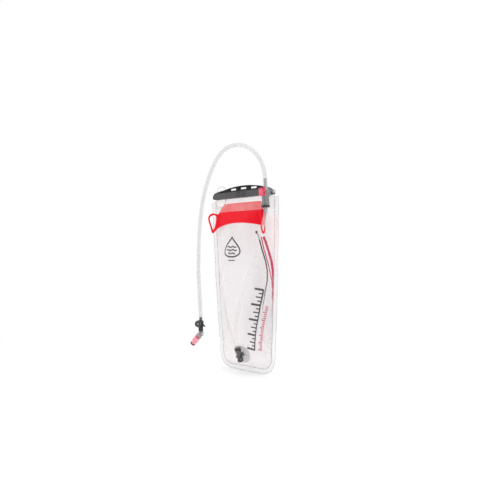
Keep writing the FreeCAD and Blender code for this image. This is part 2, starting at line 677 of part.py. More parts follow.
def mouthpiece():
    """A clear elbow on the swivel, and a bite valve that twists on the elbow's nose."""
    cup = at_swivel(turned([(6.2, -334.0), (7.0, -331.5), (7.0, -325.0), (6.2, -323.4)]))
    ball = Part.makeSphere(7.0, Vector(SWIVEL_X, SWIVEL_Y, ELBOW_CENTRE_Z))
    nose = in_valve_frame(turned([(6.6, 0.0), (6.6, 9.0), (4.0, 9.0), (4.0, 17.0)]))
    elbow = fused(cup, ball, nose)
    elbow = elbow.cut(at_swivel(rod(3.48, (0, 0, -333.6), (0, 0, -318))))
    elbow = elbow.cut(at_swivel(block(-20, 20, -20, 20, -323.4, -300)))
    elbow = elbow.cut(in_valve_frame(rod(BORE_R, (0, 0, 2), (0, 0, 20))))
    groove = tube(4.6, 3.2, (0, 0, -328.0), (0, 0, -326.2))
    save(elbow.cut(at_swivel(groove)), "elbow")
    seal = tube(4.5, 3.6, (0, 0, -327.9), (0, 0, -326.3))
    save(at_swivel(seal), "elbow_seal")

    core = turned([(7.2, 9.4), (7.2, 12.5), (6.2, 13.5), (6.2, 24.0)], 4.06)
    core = core.cut(rod(5.6, (0, 0, 18.0), (0, 0, 25.0)))
    wings = [block(-1.4, 1.4, 6.6, 8.9, 9.6, 13.0), block(-1.4, 1.4, -8.9, -6.6, 9.6, 13.0)]
    save(in_valve_frame(fused(core, *wings)), "valve_core")
    sheath = turned([(7.0, 13.8), (7.3, 16.0), (7.3, 27.0), (6.4, 33.0), (6.6, 37.5),
                     (5.6, 39.0)], 6.25)
    tip = turned([(6.3, 26.0), (6.0, 38.0)])
    slit = block(-0.45, 0.45, -4.2, 4.2, 20, 45)
    hollow = turned([(5.0, 25.5), (4.4, 34.0)])
    sheath = fused(sheath, tip.cut(hollow)).cut(slit)
    save(in_valve_frame(sheath), "bite_sheath")


os.makedirs("parts", exist_ok=True)
slider()
mouth_rails()
mouth_flap()
reservoir()
grip_band()
tether_loop()
port()
lower_tube()
coupling()
bent_tube(HOSE_ROUTE, "hose")
swivel()
magnet_clip()
mouthpiece()
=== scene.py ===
"""The looks of the hydration bladder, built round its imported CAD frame.

Metres, in the frame's own axes: X across the bag, +Y its back, +Z up, and the origin in the
middle window of the slider's handle.
"""

import bpy
import math

from mathutils import Matrix, Vector, noise
from mathutils.bvhtree import BVHTree


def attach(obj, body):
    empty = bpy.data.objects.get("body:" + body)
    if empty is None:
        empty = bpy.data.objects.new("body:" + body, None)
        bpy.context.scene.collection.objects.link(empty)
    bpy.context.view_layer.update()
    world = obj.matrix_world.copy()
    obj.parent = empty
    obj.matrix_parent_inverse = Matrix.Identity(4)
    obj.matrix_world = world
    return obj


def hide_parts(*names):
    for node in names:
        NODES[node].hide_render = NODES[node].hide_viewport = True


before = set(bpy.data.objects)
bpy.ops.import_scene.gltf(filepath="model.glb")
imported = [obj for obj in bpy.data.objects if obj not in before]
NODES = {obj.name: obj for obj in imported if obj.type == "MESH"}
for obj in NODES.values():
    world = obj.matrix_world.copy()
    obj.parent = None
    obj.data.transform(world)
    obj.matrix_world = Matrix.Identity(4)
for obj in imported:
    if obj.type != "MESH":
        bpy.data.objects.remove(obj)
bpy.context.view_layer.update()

# Camera
VIEW_AZIMUTH = 40.15
VIEW_ELEVATION = -0.75
VIEW_ROLL = -1.03
VIEW_DISTANCE = 1.0753
VIEW_TARGET = Vector((-0.01294, 0.0, -0.11397))
VIEW_LENS = 36.33

# Studio: the side of the room behind the camera is dimmer than the backdrop
DIM_SIDE = (0.645, -0.764, 0.0)
FLOOR_HALF = 6.0

# Outline of the reservoir film
TOP_HALF_WIDTH = 0.0945
SIDE_TAPER = 0.0165
SIDE_CURVE = 1.35
TAPER_HEIGHT = 0.340
SIDE_WELD = 0.010
INNER_CORNER = 0.024
SEAM_Z = -0.391
FILM_TOP_Z = -0.0168
FOOT_Z = -0.402
FLAP_BOTTOM_Z = -0.0515

# Mouthpiece: the middle of its elbow, and the middle of the clip's face
ELBOW_CENTRE = (-0.120, -0.020, -0.328)
CLIP_FACE = (-0.11677, -0.03199, -0.305)

# Tube and hose
TUBE_OD = 0.0095
TUBE_ID = 0.00635
HOSE_ROUTE = [
    (0.0752, -0.020, -0.0075), (0.0752, -0.020, 0.022), (0.0675, -0.0205, 0.047),
    (0.050, -0.021, 0.071), (0.026, -0.0215, 0.087), (-0.001, -0.022, 0.094),
    (-0.029, -0.022, 0.091), (-0.054, -0.0215, 0.076), (-0.077, -0.021, 0.047),
    (-0.097, -0.0205, 0.008), (-0.111, -0.020, -0.036), (-0.1195, -0.0195, -0.084),
    (-0.1235, -0.0195, -0.136), (-0.125, -0.020, -0.188), (-0.123, -0.020, -0.234),
    (-0.120, -0.020, -0.272), (-0.120, -0.020, -0.299),
]
TUBE_ROUTE = [
    (0, -0.0265, -0.3561), (0, -0.0356, -0.3296), (0.005, -0.041, -0.297),
    (0.014, -0.0425, -0.262), (0.026, -0.0415, -0.227), (0.039, -0.038, -0.193),
    (0.050, -0.033, -0.160), (0.0555, -0.031, -0.133), (0.060, -0.0282, -0.105),
    (0.0752, -0.020, -0.075), (0.0752, -0.020, -0.048),
]


# ---- camera, stage and lights ----

def add_camera():
    azimuth, elevation = math.radians(VIEW_AZIMUTH), math.radians(VIEW_ELEVATION)
    back = Vector((math.sin(azimuth) * math.cos(elevation),
                   -math.cos(azimuth) * math.cos(elevation), math.sin(elevation)))
    camera = bpy.data.objects.new("camera", bpy.data.cameras.new("camera"))
    bpy.context.scene.collection.objects.link(camera)
    camera.data.lens = VIEW_LENS
    camera.data.sensor_width = 36.0
    turn = (-back).to_track_quat("-Z", "Y").to_matrix().to_4x4()
    roll = Matrix.Rotation(math.radians(VIEW_ROLL), 4, "Z")
    camera.matrix_world = Matrix.Translation(VIEW_TARGET + back * VIEW_DISTANCE) @ turn @ roll
    bpy.context.scene.camera = camera


def add_light(name, place, target, size, power):
    light = bpy.data.lights.new(name, "AREA")
    light.shape = "RECTANGLE"
    light.size, light.size_y = size
    light.energy = power
    lamp = bpy.data.objects.new(name, light)
    bpy.context.scene.collection.objects.link(lamp)
    aim = (Vector(target) - Vector(place)).to_track_quat("-Z", "Y")
    lamp.matrix_world = Matrix.Translation(Vector(place)) @ aim.to_matrix().to_4x4()


def add_studio():
    bpy.context.scene.view_settings.view_transform = "Standard"
    world = bpy.data.worlds.new("studio")
    bpy.context.scene.world = world
    world.use_nodes = True
    nodes, links = world.node_tree.nodes, world.node_tree.links
    where = nodes.new("ShaderNodeTexCoord")
    toward = nodes.new("ShaderNodeVectorMath")
    toward.operation = "DOT_PRODUCT"
    toward.inputs[1].default_value = DIM_SIDE
    ramp = nodes.new("ShaderNodeMapRange")
    ramp.interpolation_type = "SMOOTHSTEP"
    for socket, number in zip(ramp.inputs[1:5], (-0.1, 0.9, 1.0, 0.42)):
        socket.default_value = number
    links.new(where.outputs["Generated"], toward.inputs[0])
    links.new(toward.outputs["Value"], ramp.inputs["Value"])
    seen = nodes.new("ShaderNodeLightPath")
    brighter = nodes.new("ShaderNodeMath")
    brighter.operation = "MAXIMUM"
    links.new(ramp.outputs["Result"], brighter.inputs[0])
    links.new(seen.outputs["Is Camera Ray"], brighter.inputs[1])
    links.new(brighter.outputs[0], nodes["Background"].inputs["Strength"])
    nodes["Background"].inputs["Color"].default_value = (1, 1, 1, 1)
    add_floor()
    add_light("key", (-0.9, -1.2, 1.0), (0, 0, -0.15), (0.35, 1.1), 9)
    add_light("side", (1.5, -0.2, 0.5), (0, 0, -0.15), (0.16, 1.3), 5)
    add_light("overhead", (0.0, 0.1, 1.9), (0, 0, -0.3), (1.2, 1.2), 12)
    add_light("glint", (0.74, -0.80, 0.22), (0, 0, -0.1), (0.05, 0.5), 0.9)


def add_floor():
    """A pale floor that catches the bag's soft shadow and brightens away from it."""
    z = FOOT_Z - 0.0005
    floor = mesh_piece("floor", [(-FLOOR_HALF, -FLOOR_HALF, z), (FLOOR_HALF, -FLOOR_HALF, z),
                                 (FLOOR_HALF, FLOOR_HALF, z), (-FLOOR_HALF, FLOOR_HALF, z)],
                       [(0, 1, 2, 3)])
    look = Look("pale_floor", (0.93, 0.93, 0.93), 0.9)
    glow = look.nodes.new("ShaderNodeEmission")
    glow.inputs["Strength"].default_value = 1.0
    reach = look.nodes.new("ShaderNodeVectorMath")
    reach.operation = "LENGTH"
    look.links.new(look.place(), reach.inputs[0])
    far = look.span(reach.outputs["Value"], 0.45, 0.95, 0.12, 1.0)
    mix = look.nodes.new("ShaderNodeMixShader")
    look.links.new(far, mix.inputs["Fac"])
    look.links.new(look.shader.outputs[0], mix.inputs[1])
    look.links.new(glow.outputs[0], mix.inputs[2])
    look.links.new(mix.outputs[0], look.nodes["Material Output"].inputs["Surface"])
    floor.data.materials.append(look.material)


# ---- meshes ----

def mesh_piece(name, points, faces):
    mesh = bpy.data.meshes.new(name)
    mesh.from_pydata([tuple(p) for p in points], [], faces)
    mesh.update()
    mesh.polygons.foreach_set("use_smooth", [True] * len(mesh.polygons))
    piece = bpy.data.objects.new(name, mesh)
    bpy.context.scene.collection.objects.link(piece)
    return piece


def grid_faces(rows, columns, closed=False, start=0):
    faces = []
    for i in range(rows - 1):
        for j in range(columns if closed else columns - 1):
            a = start + i * columns + j
            b = start + i * columns + (j + 1) % columns
            faces.append((a, b, b + columns, a + columns))
    return faces


def surface_of(piece):
    return BVHTree.FromPolygons([v.co for v in piece.data.vertices],
                                [tuple(p.vertices) for p in piece.data.polygons])


def nurbs_points(route, steps=14):
    """Points along the smooth line that has the route as its control points."""
    curve = bpy.data.curves.new("route", "CURVE")
    curve.dimensions = "3D"
    curve.resolution_u = steps
    spline = curve.splines.new("NURBS")
    spline.points.add(len(route) - 1)
    for point, place in zip(spline.points, route):
        point.co = (*place, 1)
    spline.order_u = 3
    spline.use_endpoint_u = True
    holder = bpy.data.objects.new("route", curve)
    mesh = bpy.data.meshes.new_from_object(holder)
    line = [v.co.copy() for v in mesh.vertices]
    bpy.data.meshes.remove(mesh)
    bpy.data.objects.remove(holder)
    bpy.data.curves.remove(curve)
    return line


def hollow_tube(name, line, outer, inner, sides=28):
    """A tube with a real bore along a line of points."""
    side = Vector((0, 1, 0))
    rings = {outer: [], inner: []}
    for i, centre in enumerate(line):
        ahead = line[min(i + 1, len(line) - 1)] - line[max(i - 1, 0)]
        ahead.normalize()
        side = (side - ahead * side.dot(ahead)).normalized()
        other = ahead.cross(side)
        for radius, points in rings.items():
            for j in range(sides):
                angle = 2 * math.pi * j / sides
                points.append(centre + (side * math.cos(angle) + other * math.sin(angle)) * radius)
    count = len(line)
    faces = grid_faces(count, sides, closed=True)
    offset = count * sides
    faces += [tuple(reversed(f)) for f in grid_faces(count, sides, closed=True, start=offset)]
    for j in range(sides):
        k = (j + 1) % sides
        faces.append((k, j, offset + j, offset + k))
        last = offset - sides
        faces.append((last + j, last + k, offset + last + k, offset + last + j))
    return mesh_piece(name, rings[outer] + rings[inner], faces)


# ---- materials ----

class Look:
    """A material built up from one Principled shader and object-space patterns."""

    def __init__(self, name, colour, roughness, **constants):
        self.material = bpy.data.materials.new(name)
        self.material.use_nodes = True
        self.nodes = self.material.node_tree.nodes
        self.links = self.material.node_tree.links
        self.shader = self.nodes["Principled BSDF"]
        self.shader.inputs["Base Color"].default_value = (*colour, 1)
        self.shader.inputs["Roughness"].default_value = roughness
        for socket, value in constants.items():
            self.shader.inputs[socket.replace("_", " ")].default_value = value

    def place(self, scale=(1, 1, 1), turn=(0, 0, 0)):
        where = self.nodes.new("ShaderNodeTexCoord")
        mapping = self.nodes.new("ShaderNodeMapping")
        mapping.inputs["Scale"].default_value = scale
        mapping.inputs["Rotation"].default_value = turn
        self.links.new(where.outputs["Object"], mapping.inputs["Vector"])
        return mapping.outputs["Vector"]

    def noise(self, scale, detail=3.0, stretch=(1, 1, 1)):
        texture = self.nodes.new("ShaderNodeTexNoise")
        texture.inputs["Scale"].default_value = scale
        texture.inputs["Detail"].default_value = detail
        self.links.new(self.place(stretch), texture.inputs["Vector"])
        return texture.outputs["Fac"]

    def wave(self, scale, turn=(0, 0, 0), distortion=0.0):
        texture = self.nodes.new("ShaderNodeTexWave")
        texture.inputs["Scale"].default_value = scale
        texture.inputs["Distortion"].default_value = distortion
        self.links.new(self.place(turn=turn), texture.inputs["Vector"])
        return texture.outputs["Fac"]

    def axis(self, name):
        where = self.nodes.new("ShaderNodeTexCoord")
        split = self.nodes.new("ShaderNodeSeparateXYZ")
        self.links.new(where.outputs["Object"], split.inputs[0])
        return split.outputs[name]

    def distance(self, point):
        away = self.nodes.new("ShaderNodeVectorMath")
        away.operation = "DISTANCE"
        away.inputs[1].default_value = point
        where = self.nodes.new("ShaderNodeTexCoord")
        self.links.new(where.outputs["Object"], away.inputs[0])
        return away.outputs["Value"]

    def slope(self, a, b, c):
        """The value a X + b Z + c, in metres."""
        x = self.math("MULTIPLY", self.axis("X"), a)
        z = self.math("MULTIPLY", self.axis("Z"), b)
        return self.math("ADD", self.math("ADD", x, z), c)

    def span(self, value, low, high, to_low=0.0, to_high=1.0, smooth=True):
        ramp = self.nodes.new("ShaderNodeMapRange")
        if smooth:
            ramp.interpolation_type = "SMOOTHSTEP"
        for socket, number in zip(ramp.inputs[1:5], (low, high, to_low, to_high)):
            socket.default_value = number
        self.links.new(value, ramp.inputs["Value"])
        return ramp.outputs["Result"]

    def math(self, kind, a, b):
        node = self.nodes.new("ShaderNodeMath")
        node.operation = kind
        for socket, value in zip(node.inputs, (a, b)):
            if isinstance(value, (int, float)):
                socket.default_value = value
            else:
                self.links.new(value, socket)
        return node.outputs[0]

    def mixed(self, factor, low, high):
        mix = self.nodes.new("ShaderNodeMix")
        mix.data_type = "RGBA"
        self.links.new(factor, mix.inputs["Factor"])
        for name, value in (("A", low), ("B", high)):
            socket = [s for s in mix.inputs if s.name == name and s.type == "RGBA"][0]
            if isinstance(value, tuple):
                socket.default_value = (*value, 1)
            else:
                self.links.new(value, socket)
        return [s for s in mix.outputs if s.type == "RGBA"][0]

    def colours(self, factor, low, high):
        self.links.new(self.mixed(factor, low, high), self.shader.inputs["Base Color"])

    def rough(self, factor, low, high):
        self.links.new(self.span(factor, 0.3, 0.7, low, high), self.shader.inputs["Roughness"])

    def bump(self, height, depth, strength=1.0):
        node = self.nodes.new("ShaderNodeBump")
        node.inputs["Strength"].default_value = strength
        node.inputs["Distance"].default_value = depth
        self.links.new(height, node.inputs["Height"])
        previous = self.shader.inputs["Normal"].links
        if previous:
            self.links.new(previous[0].from_socket, node.inputs["Normal"])
        self.links.new(node.outputs["Normal"], self.shader.inputs["Normal"])

    def facing(self, blend=0.5):
        weight = self.nodes.new("ShaderNodeLayerWeight")
        weight.inputs["Blend"].default_value = blend
        if self.shader.inputs["Normal"].links:
            self.links.new(self.shader.inputs["Normal"].links[0].from_socket,
                           weight.inputs["Normal"])
        return weight.outputs["Facing"]

    def clear(self, solid, tint):
        """Lets what is behind show, by a share that solid gives, from 0 to 1."""
        through = self.nodes.new("ShaderNodeBsdfTransparent")
        if isinstance(tint, tuple):
            through.inputs["Color"].default_value = (*tint, 1)
        else:
            self.links.new(tint, through.inputs["Color"])
        mix = self.nodes.new("ShaderNodeMixShader")
        self.links.new(solid, mix.inputs["Fac"])
        self.links.new(through.outputs[0], mix.inputs[1])
        self.links.new(self.shader.outputs[0], mix.inputs[2])
        out = self.nodes["Material Output"]
        self.links.new(mix.outputs[0], out.inputs["Surface"])


def plain(name, colour, roughness):
    return Look(name, colour, roughness).material


def moulded(name, light, dark, roughness, grain=900.0, depth=0.00004, **constants):
    """Moulded plastic: slow colour drift, fine spark-eroded grain and uneven gloss."""
    look = Look(name, light, roughness, **constants)
    look.colours(look.noise(60.0, 4.0), dark, light)
    look.rough(look.noise(220.0, 3.0), max(0.02, roughness - 0.08), roughness + 0.08)
    look.bump(look.noise(grain, 2.0), depth)
    return look


def film_look(name, solid, colour, tint, folds=False):
    """Soft clear film: broad cloudy haze, a painted pink reflection of the red band near the band's
    end, thicker to look through where it turns away."""
    look = Look(name, colour, 0.22, Specular_IOR_Level=0.5, IOR=1.45)
    # painted reflection: the film's colour and see-through tint turn pink where the red band would
    # reflect in it
    pink = look.span(look.axis("X"), 0.045, 0.085)
    pink = look.math("MULTIPLY", pink, look.span(look.axis("Z"), -0.300, -0.120))
    pink = look.math("MULTIPLY", pink, look.span(look.axis("Z"), -0.068, -0.054, 1.0, 0.0))
    look.colours(pink, colour, (0.95, 0.85, 0.86))
    look.bump(look.noise(26.0, 4.0, (1.0, 1.0, 0.3)), 0.0012, 0.5)
    look.bump(look.noise(420.0, 2.0), 0.00004, 0.4)
    look.rough(look.noise(30.0, 3.0), 0.14, 0.34)
    haze = look.span(look.noise(9.0, 3.0, (1.0, 1.0, 0.35)), 0.3, 0.7, solid * 0.6, solid * 1.45)
    haze = look.math("MULTIPLY", haze, look.span(look.axis("Z"), -0.085, -0.050, 1.0, 0.35))
    if folds:
        # painted shade and light along the folds: darkens the see-through tint and thickens the haze
        shade = fold_shade(look)
        tint = look.mixed(shade, tint, tuple(c * 0.85 for c in tint))
        haze = look.math("ADD", look.math("MULTIPLY", haze, 0.6),
                         look.math("MULTIPLY", shade, 0.10))
    edge = look.span(look.facing(0.45), 0.15, 0.95, 0.0, 0.45)
    look.clear(look.math("ADD", haze, edge), look.mixed(pink, tint, (0.995, 0.962, 0.966)))
    return look


def fold_shade(look):
    """Painted shade and light on the front film, from 0 to 1: a painted bright wedge between the two
    folds that rise from the port, painted shade on a ridge on its left, and a grey field of painted
    shade on its right."""
    left, right = look.slope(0.955, 0.293, 0.1145), look.slope(0.968, -0.249, -0.0885)
    ridge = look.math("MULTIPLY", look.span(left, -0.016, 0.0),
                      look.span(left, 0.0, 0.004, 1.0, 0.0))
    wedge = look.math("MULTIPLY", look.span(left, 0.0, 0.006),
                      look.span(right, -0.020, 0.0, 1.0, 0.0))
    low = look.span(look.axis("Z"), -0.215, -0.130, 1.0, 0.0)
    field = look.math("MULTIPLY", look.span(right, -0.004, 0.010), 0.45)
    turn = look.math("SUBTRACT", look.math("MULTIPLY", ridge, 0.45),
                     look.math("MULTIPLY", wedge, 0.60))
    cloud = look.span(look.noise(11.0, 3.0, (1.0, 1.0, 0.4)), 0.3, 0.7, 0.25, 0.60)
    tone = look.math("ADD", look.math("ADD", cloud, field), look.math("MULTIPLY", turn, low))
    foot = look.span(look.axis("Z"), -0.385, -0.350, 0.45, 1.0)
    top = look.span(look.axis("Z"), -0.085, -0.050, 1.0, 0.1)
    shown = look.math("MULTIPLY", foot, top)
    return look.span(look.math("MULTIPLY", tone, shown), 0.0, 1.0, smooth=False)


# ---- reservoir film ----

def outer_half_width(z):
    down = max(0.0, (-0.020 - z) / TAPER_HEIGHT)
    return TOP_HALF_WIDTH - SIDE_TAPER * down ** SIDE_CURVE


def inner_half_width(z):
    half = outer_half_width(z) - SIDE_WELD
    corner_z = SEAM_Z + INNER_CORNER
    if z < corner_z:
        drop = min(INNER_CORNER, corner_z - z)
        half -= INNER_CORNER - math.sqrt(INNER_CORNER ** 2 - drop ** 2)
    return half


FILM_ROWS = 170
FILM_COLUMNS = 65
FILM_INSET = 0.0002

# What the film's simulation uses: air pressure, spare length, furthest move and steps
AIR_PRESSURE = 1.2
FILM_SPARE = 0.012
FILM_REACH = 0.0035
AIR_STEPS = 15


def film_row_z(i):
    return FILM_TOP_Z + (SEAM_Z + 0.0004 - FILM_TOP_Z) * i / (FILM_ROWS - 1)


def film_points(node, side):
    """The CAD panel's outer surface read at an even grid; its port hole is filled in."""
    tree = surface_of(NODES[node])
    points, missing = [], []
    for i in range(FILM_ROWS):
        z = film_row_z(i)
        half = inner_half_width(z)
        for j in range(FILM_COLUMNS):
            x = -half * math.cos(math.pi * j / (FILM_COLUMNS - 1))
            hit = tree.ray_cast(Vector((x, side * 0.1, z)), Vector((0, -side, 0)), 0.2)[0]
            if hit is None or hit.y * side < 0:
                missing.append((i, j))
                points.append(Vector((x, 0.0, z)))
            else:
                points.append(hit)
    inside = [(i, j) for i, j in missing if 3 < i < FILM_ROWS - 4 and 3 < j < FILM_COLUMNS - 4]
    for _ in range(400):
        for i, j in inside:
            k = i * FILM_COLUMNS + j
            near = (k - 1, k + 1, k - FILM_COLUMNS, k + FILM_COLUMNS)
            points[k].y = sum(points[n].y for n in near) / 4
    return points


CREASES = [
    # start, end, half width, depth: soft V-shaped folds that the port pulls in the front
    ((-0.014, -0.345), (-0.0600, -0.195), 0.0075, 0.0045),
    ((0.004, -0.340), (-0.0180, -0.215), 0.0110, 0.0035),
    ((0.020, -0.345), (0.062, -0.235), 0.0090, 0.0028),
    ((-0.055, -0.200), (-0.068, -0.110), 0.0060, 0.0022),
    ((0.020, -0.100), (0.040, -0.210), 0.0110, 0.0030),
]
BACK_CREASES = [
    ((-0.050, -0.330), (-0.020, -0.180), 0.0070, 0.0022),
    ((0.048, -0.350), (0.030, -0.210), 0.0060, 0.0020),
    ((0.060, -0.080), (0.020, -0.170), 0.0070, 0.0014),
]


def crease_depth(creases, x, z):
    total = 0.0
    for start, end, width, depth in creases:
        run = Vector((end[0] - start[0], end[1] - start[1]))
        rel = Vector((x - start[0], z - start[1]))
        along = rel.dot(run) / run.length_squared
        if not -0.15 < along < 1.15:
            continue
        across = abs(rel.x * run.y - rel.y * run.x) / run.length
        fade = math.sin(math.pi * min(1.0, max(0.0, (along + 0.15) / 1.3)))
        total += depth * fade * math.exp(-(across / width) ** 2)
    return total


def pucker(x, z, half, seed):
    """Small ridges that run in from the side welds and die out."""
    inward = half - abs(x)
    side = 1.0 if x > 0 else -1.0
    phase = z * 620.0 + 3.0 * noise.noise(Vector((side * 3.0, seed, z * 45.0)))
    slant = side * inward * 190.0 * noise.noise(Vector((seed, side, z * 16.0)))
    reach = 0.012 + 0.010 * (0.5 + noise.noise(Vector((seed + 5.0, side, z * 28.0))))
    rise = min(1.0, inward / 0.003)
    return math.sin(phase + slant) * rise * math.exp(-inward / reach)


def settle(piece, pins, side, limits):
    """Lets the film swell and wrinkle under the air inside it, held at its welds.

    No point goes further out than its limit, the surface of the CAD panel.
    """
    rest = [v.co.copy() for v in piece.data.vertices]
    group = piece.vertex_groups.new(name="welds")
    group.add(pins, 1.0, "REPLACE")
    cloth = piece.modifiers.new("air", "CLOTH")
    settings = cloth.settings
    settings.quality = 5
    settings.mass = 0.15
    settings.tension_stiffness = settings.compression_stiffness = 20.0
    settings.shear_stiffness = 12.0
    settings.bending_stiffness = 0.25
    settings.vertex_group_mass = "welds"
    settings.use_pressure = True
    settings.uniform_pressure_force = AIR_PRESSURE
    settings.shrink_min = -FILM_SPARE
    settings.effector_weights.gravity = 0.0
    cloth.collision_settings.use_collision = False
    scene = bpy.context.scene
    for step in range(1, AIR_STEPS + 1):
        scene.frame_set(step)
    graph = bpy.context.evaluated_depsgraph_get()
    blown = [v.co.copy() for v in piece.evaluated_get(graph).data.vertices]
    piece.modifiers.remove(cloth)
    piece.vertex_groups.clear()
    for vertex, before, after, limit in zip(piece.data.vertices, rest, blown, limits):
        move = after - before
        if move.length > FILM_REACH:
            move *= FILM_REACH / move.length
        place = before + move
        place.y = side * max(0.0, min(side * place.y, side * limit - FILM_INSET))
        vertex.co = place
    scene.frame_set(1)


def film_panel(name, node, side, creases):
    points = film_points(node, side)
    limits = [point.y for point in points]
    for i in range(FILM_ROWS):
        z = film_row_z(i)
        half = inner_half_width(z)
        for j in range(FILM_COLUMNS):
            point = points[i * FILM_COLUMNS + j]
            edge = min(1.0, (half - abs(point.x)) / 0.012, i / 12.0, (FILM_ROWS - 1 - i) / 8.0)
            inset = 0.0006 + crease_depth(creases, point.x, z)
            inset += 0.0011 * (0.5 + 0.5 * noise.noise(point * 26.0 + Vector((side, 0, 0))))
            inset += 0.0005 * pucker(point.x, z, half, side) + 0.0005
            point.y -= side * min(abs(point.y), inset * max(0.0, edge))
    faces = grid_faces(FILM_ROWS, FILM_COLUMNS)
    if side < 0:
        faces = [tuple(reversed(f)) for f in faces]
    piece = mesh_piece(name, points, faces)
    edge_rows = {0, FILM_ROWS - 1}
    edge_columns = {0, FILM_COLUMNS - 1}
    pins = [i * FILM_COLUMNS + j for i in range(FILM_ROWS) for j in range(FILM_COLUMNS)
            if i in edge_rows or j in edge_columns]
    settle(piece, pins, side, limits)
    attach(piece, "bag")
    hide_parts(node)
    return piece


def weld_border():
    """The flat welded strip round the sides and foot, slightly wavy at its free edge."""
    inner, outer = [], []
    steps = 110
    for i in range(steps + 1):
        z = -0.0245 + (SEAM_Z + INNER_CORNER + 0.0245) * i / steps
        inner.append((inner_half_width(z), z))
        outer.append((outer_half_width(z), z))
    corner_x = inner_half_width(SEAM_Z + INNER_CORNER) - INNER_CORNER
    corner_z = SEAM_Z + INNER_CORNER
    turns = 16
    for i in range(1, turns + 1):
        angle = math.pi / 2 * i / turns
        reach_x = SIDE_WELD - 0.0006
        inner.append((corner_x + INNER_CORNER * math.cos(angle),
                      corner_z - INNER_CORNER * math.sin(angle)))
        outer.append((corner_x + (INNER_CORNER + reach_x) * math.cos(angle),
                      corner_z - (INNER_CORNER + reach_x) * math.sin(angle)))
    foot = 30
    for i in range(1, foot + 1):
        x = corner_x * (1 - i / foot)
        inner.append((x, SEAM_Z))
        outer.append((x, FOOT_Z + 0.0012 * (x / corner_x) ** 2 + 0.0004))
    inner += [(-x, z) for x, z in reversed(inner[:-1])]
    outer += [(-x, z) for x, z in reversed(outer[:-1])]
    columns = 9
    points = []
    for i, (a, b) in enumerate(zip(inner, outer)):
        for j in range(columns):
            t = j / (columns - 1)
            x, z = a[0] + (b[0] - a[0]) * t, a[1] + (b[1] - a[1]) * t
            wave = noise.noise(Vector((x * 30.0, 2.0, z * 30.0)))
            ripple = 0.45 * noise.noise(Vector((x * 90.0, 7.0, z * 90.0)))
            points.append(Vector((x, 0.0013 * (wave + ripple) * t ** 1.5, z)))
    piece = mesh_piece("weld_border", points, grid_faces(len(inner), columns))
    thick = piece.modifiers.new("film", "SOLIDIFY")
    thick.thickness = 0.0006
    thick.offset = 0.0
    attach(piece, "bag")
    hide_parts("perimeter_weld")
    look = film_look("weld_film", 0.26, (0.86, 0.86, 0.87), (0.965, 0.965, 0.97))
    look.bump(look.wave(420.0, (0, math.radians(45), 0)), 0.00015, 0.4)
    piece.data.materials.append(look.material)

    bead_look = film_look("bead_film", 0.45, (0.68, 0.67, 0.68), (0.93, 0.93, 0.93))
    for bead, j, radius in (("weld_bead", 0, 0.0007), ("film_edge", columns - 1, 0.0005)):
        path = [points[i * columns + j] for i in range(len(inner))]
        rib = hollow_tube(bead, path, radius, radius * 0.4, 8)
        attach(rib, "bag")
        rib.data.materials.append(bead_look.material)


def mouth_flap():
    """The frosted mouth of the bag, folded forward over the rail and hanging in front."""
    tree = surface_of(NODES["mouth_flap"])
    top, bottom = FILM_TOP_Z, FLAP_BOTTOM_Z
    rows, columns = 34, 81
    points = []
    for i in range(rows):
        down = i / (rows - 1)
        for j in range(columns):
            u = 2.0 * j / (columns - 1) - 1
            curl = max(0.0, (abs(u) - 0.955) / 0.045)
            z = top + (bottom + 0.004 * curl ** 2 - top) * down
            spread = math.sin(math.pi / 2 * min(1.0, max(0.0, (-0.021 - z) / 0.014))) ** 2
            x = (0.0838 + 0.0068 * spread) * u
            hit = tree.ray_cast(Vector((x, -0.1, z)), Vector((0, 1, 0)), 0.2)[0]
            y = hit.y if hit else points[-1].y
            lift = max(0.0, down - 0.35)
            wave = 0.5 + 0.5 * noise.noise(Vector((x * 38.0, 1.0, z * 12.0)))
            points.append(Vector((x, y - 0.0002 - 0.0022 * lift * wave, z)))
    faces = [tuple(reversed(f)) for f in grid_faces(rows, columns)]
    piece = mesh_piece("frosted_flap", points, faces)
    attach(piece, "bag")
    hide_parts("mouth_flap")
    look = Look("frosted_film", (0.94, 0.875, 0.84), 0.5, Specular_IOR_Level=0.3)
    look.bump(look.noise(900.0, 2.0), 0.00006, 0.6)
    look.bump(look.noise(60.0, 4.0, (1.0, 1.0, 0.5)), 0.0005, 0.35)
    cloud = look.span(look.noise(40.0, 4.0), 0.3, 0.7, 0.17, 0.27)
    edge = look.span(look.facing(0.4), 0.3, 0.95, 0.0, 0.3)
    look.clear(look.math("ADD", cloud, edge), (0.992, 0.985, 0.982))
    piece.data.materials.append(look.material)


def bag():
    front_look = film_look("front_film", 0.24, (0.82, 0.765, 0.77), (0.990, 0.963, 0.965), True)
    front = film_panel("front_film", "front_panel", -1, CREASES)
    front.data.materials.append(front_look.material)
    back_look = film_look("back_film", 0.17, (0.80, 0.78, 0.81), (0.962, 0.952, 0.962))
    back = film_panel("back_film", "back_panel", 1, BACK_CREASES)
    back.data.materials.append(back_look.material)
    weld_border()
    mouth_flap()
    return front


# ---- printed graphics ----

PRINT_STEP = 0.0015
PRINT_LIFT = 0.0005


